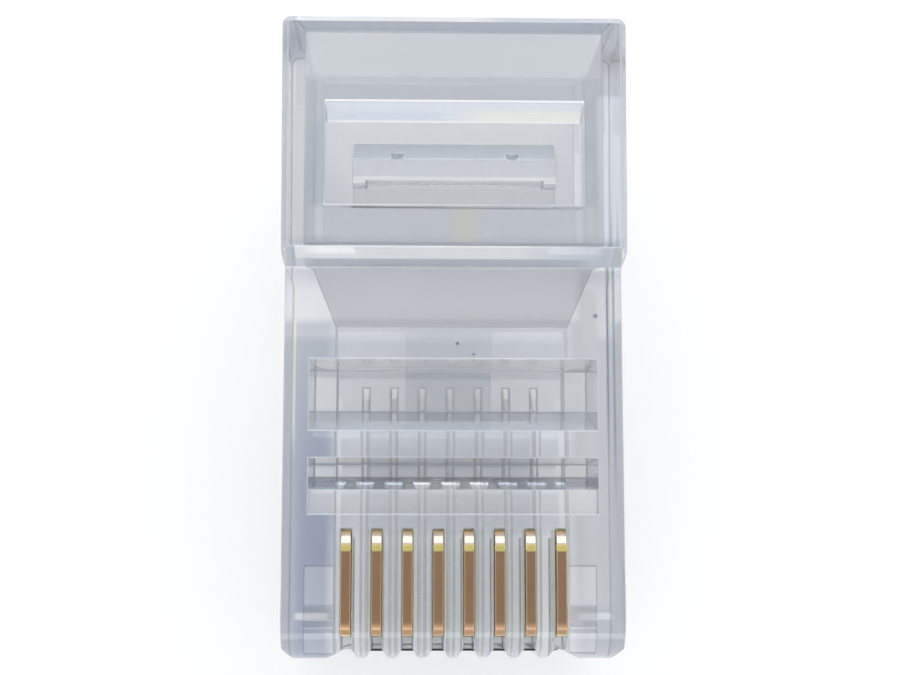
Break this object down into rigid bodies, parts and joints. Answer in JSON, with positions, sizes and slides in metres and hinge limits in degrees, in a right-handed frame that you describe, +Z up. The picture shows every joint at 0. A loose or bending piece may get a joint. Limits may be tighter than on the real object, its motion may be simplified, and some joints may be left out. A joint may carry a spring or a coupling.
{
  "type": "modular plug",
  "caption": "Clear crimp-on modular data plug with a row of gold blade contacts, a sprung latch lever and an open rear cable entry, not yet crimped.",
  "frame": {"origin": "on the ground, under the centre of the plug's bounding box", "axes": "+X across the plug, +Y from the nose towards the cable entry, +Z up. The plug lies on its latch with the contacts up, pitched nose down by 8.12 degrees."},
  "size_m": [0.0116, 0.022, 0.012],
  "materials": {
    "clear_plastic": "clear moulded polycarbonate, smooth",
    "gold_plate": "thin gold plating over nickel on phosphor bronze"
  },
  "bodies": {
    "plug_body": {"housing": "clear_plastic"},
    "latch": {"latch_lever": "clear_plastic"},
    "blade_1": {"contact_1": "gold_plate"},
    "blade_2": {"contact_2": "gold_plate"},
    "blade_3": {"contact_3": "gold_plate"},
    "blade_4": {"contact_4": "gold_plate"},
    "blade_5": {"contact_5": "gold_plate"},
    "blade_6": {"contact_6": "gold_plate"},
    "blade_7": {"contact_7": "gold_plate"},
    "blade_8": {"contact_8": "gold_plate"}
  },
  "joints": [
    {"name": "latch_flex", "type": "hinge", "parent": "plug_body", "child": "latch", "pos_m": [0, -0.00875, 0.00071], "axis": [1, 0, 0], "range_deg": [0, 8.5], "stiffness_Nm_per_rad": 0.19},
    {"name": "contact_1_crimp", "type": "slide", "parent": "plug_body", "child": "blade_1", "axis": [0, 0.1413, -0.99], "range_m": [0, 0.00095]},
    {"name": "contact_2_crimp", "type": "slide", "parent": "plug_body", "child": "blade_2", "axis": [0, 0.1413, -0.99], "range_m": [0, 0.00095]},
    {"name": "contact_3_crimp", "type": "slide", "parent": "plug_body", "child": "blade_3", "axis": [0, 0.1413, -0.99], "range_m": [0, 0.00095]},
    {"name": "contact_4_crimp", "type": "slide", "parent": "plug_body", "child": "blade_4", "axis": [0, 0.1413, -0.99], "range_m": [0, 0.00095]},
    {"name": "contact_5_crimp", "type": "slide", "parent": "plug_body", "child": "blade_5", "axis": [0, 0.1413, -0.99], "range_m": [0, 0.00095]},
    {"name": "contact_6_crimp", "type": "slide", "parent": "plug_body", "child": "blade_6", "axis": [0, 0.1413, -0.99], "range_m": [0, 0.00095]},
    {"name": "contact_7_crimp", "type": "slide", "parent": "plug_body", "child": "blade_7", "axis": [0, 0.1413, -0.99], "range_m": [0, 0.00095]},
    {"name": "contact_8_crimp", "type": "slide", "parent": "plug_body", "child": "blade_8", "axis": [0, 0.1413, -0.99], "range_m": [0, 0.00095]}
  ]
}
